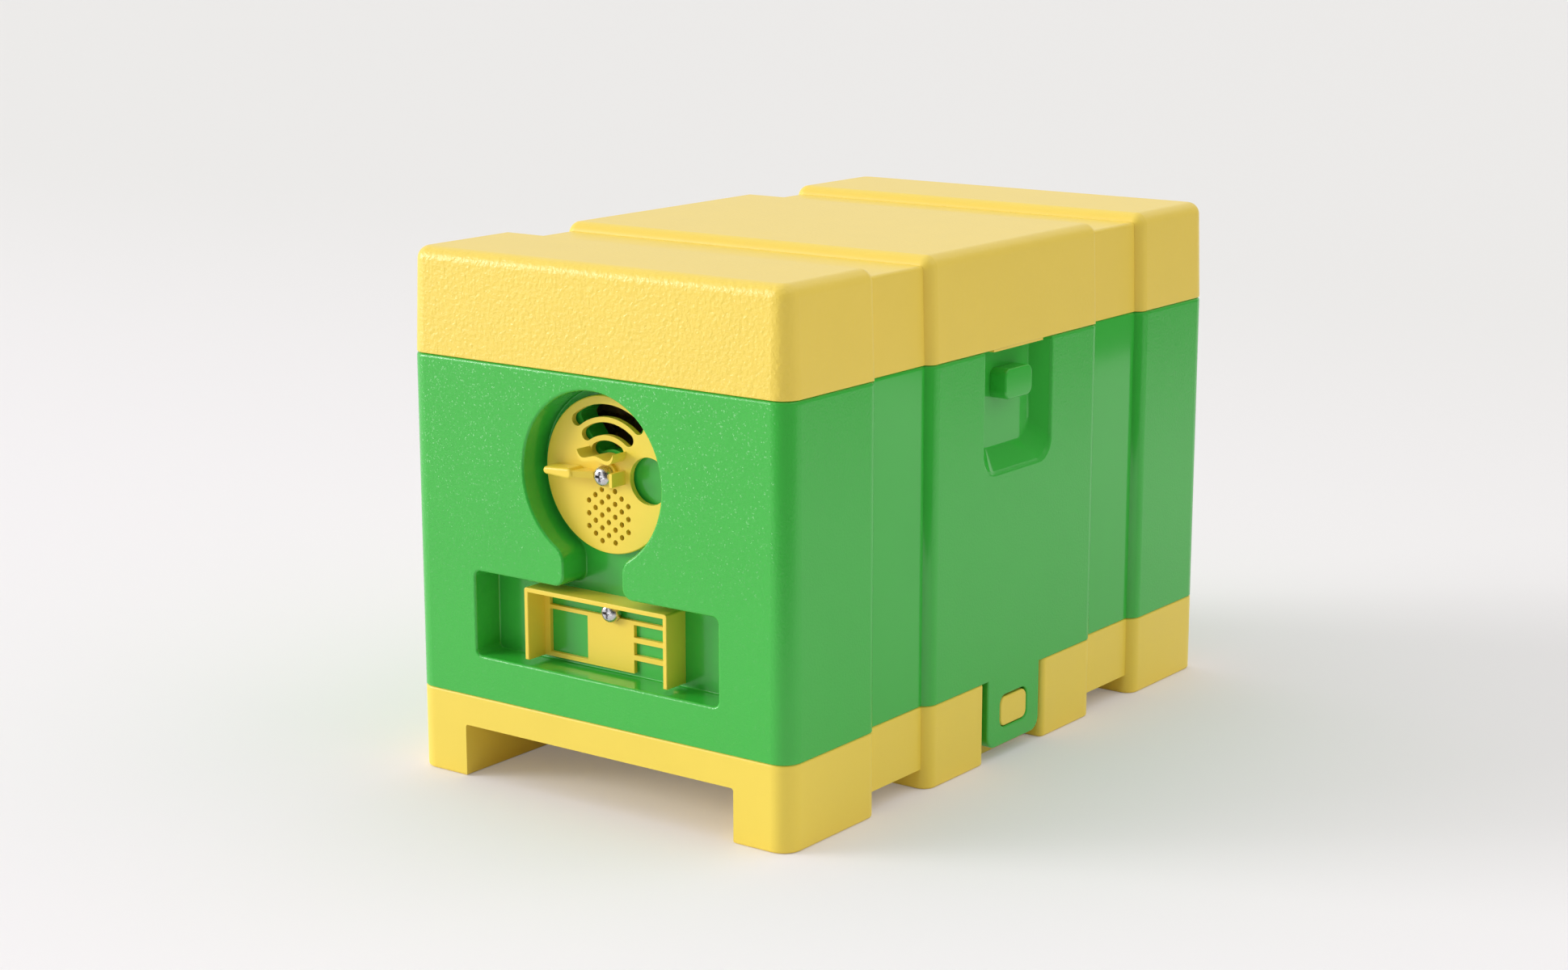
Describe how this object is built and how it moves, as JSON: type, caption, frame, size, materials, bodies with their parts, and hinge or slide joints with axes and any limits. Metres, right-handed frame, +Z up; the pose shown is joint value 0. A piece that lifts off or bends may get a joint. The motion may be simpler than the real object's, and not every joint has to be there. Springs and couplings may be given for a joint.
{
  "type": "mating nuc box",
  "caption": "Insulated mating box for bees: grooved lid, walls and base, a round entrance disc and a sliding gate in front, snap tabs, and small frames with a feeder inside.",
  "frame": {"origin": "middle of the footprint, on the surface that the feet stand on", "axes": "+Y from the entrance front to the rear, +X to the right seen from the front, +Z up"},
  "size_m": [0.16, 0.27, 0.183],
  "materials": {
    "lid_yellow": "leather-grained yellow moulding",
    "body_green": "glossy green moulding with a fine grain",
    "base_yellow": "smooth satin yellow moulding",
    "fitting_yellow": "smooth satin yellow plastic",
    "screw_steel": "bright plated steel",
    "clear_sheet": "clear plastic sheet",
    "frame_wood": "planed pine",
    "comb_wax": "beeswax foundation",
    "feeder_white": "natural white plastic"
  },
  "bodies": {
    "box": {"nuc_body": "body_green", "base": "base_yellow", "floor_grille": "fitting_yellow", "entrance_screws": "screw_steel"},
    "disc": {"entrance_disc": "fitting_yellow"},
    "gate": {"entrance_gate": "fitting_yellow"},
    "tab_right": {"latch_tab_right": "body_green"},
    "tab_left": {"latch_tab_left": "body_green"},
    "contents": {"frame_1_top_bar": "frame_wood", "frame_1_side_bars": "frame_wood", "frame_1_bottom_bar": "frame_wood", "frame_1_foundation": "comb_wax", "frame_2_top_bar": "frame_wood", "frame_2_side_bars": "frame_wood", "frame_2_bottom_bar": "frame_wood", "frame_2_foundation": "comb_wax", "frame_3_top_bar": "frame_wood", "frame_3_side_bars": "frame_wood", "frame_3_bottom_bar": "frame_wood", "frame_3_foundation": "comb_wax", "frame_4_top_bar": "frame_wood", "frame_4_side_bars": "frame_wood", "frame_4_bottom_bar": "frame_wood", "frame_4_foundation": "comb_wax", "feeder_tub": "feeder_white", "feeder_float": "feeder_white"},
    "cover": {"inner_cover": "clear_sheet"},
    "lid": {"lid": "lid_yellow"}
  },
  "joints": [
    {"name": "disc_turn", "type": "hinge", "parent": "box", "child": "disc", "pos_m": [0, -0.125, 0.1126], "axis": [0, -1, 0], "continuous": true},
    {"name": "gate_slide", "type": "slide", "parent": "box", "child": "gate", "axis": [1, 0, 0], "range_m": [-0.0185, 0.0205]},
    {"name": "tab_right_flex", "type": "hinge", "parent": "box", "child": "tab_right", "pos_m": [0.08, 0, 0.02985], "axis": [0, -1, 0], "range_deg": [0, 12], "stiffness_Nm_per_rad": 1},
    {"name": "tab_left_flex", "type": "hinge", "parent": "box", "child": "tab_left", "pos_m": [-0.08, 0, 0.02985], "axis": [0, 1, 0], "range_deg": [0, 12], "stiffness_Nm_per_rad": 1},
    {"name": "contents_lift", "type": "slide", "parent": "box", "child": "contents", "axis": [0, 0, 1], "range_m": [0, 0.115]},
    {"name": "cover_lift", "type": "slide", "parent": "contents", "child": "cover", "axis": [0, 0, 1], "range_m": [0, 0.05]},
    {"name": "lid_lift", "type": "slide", "parent": "cover", "child": "lid", "axis": [0, 0, 1], "range_m": [0, 0.1]}
  ]
}
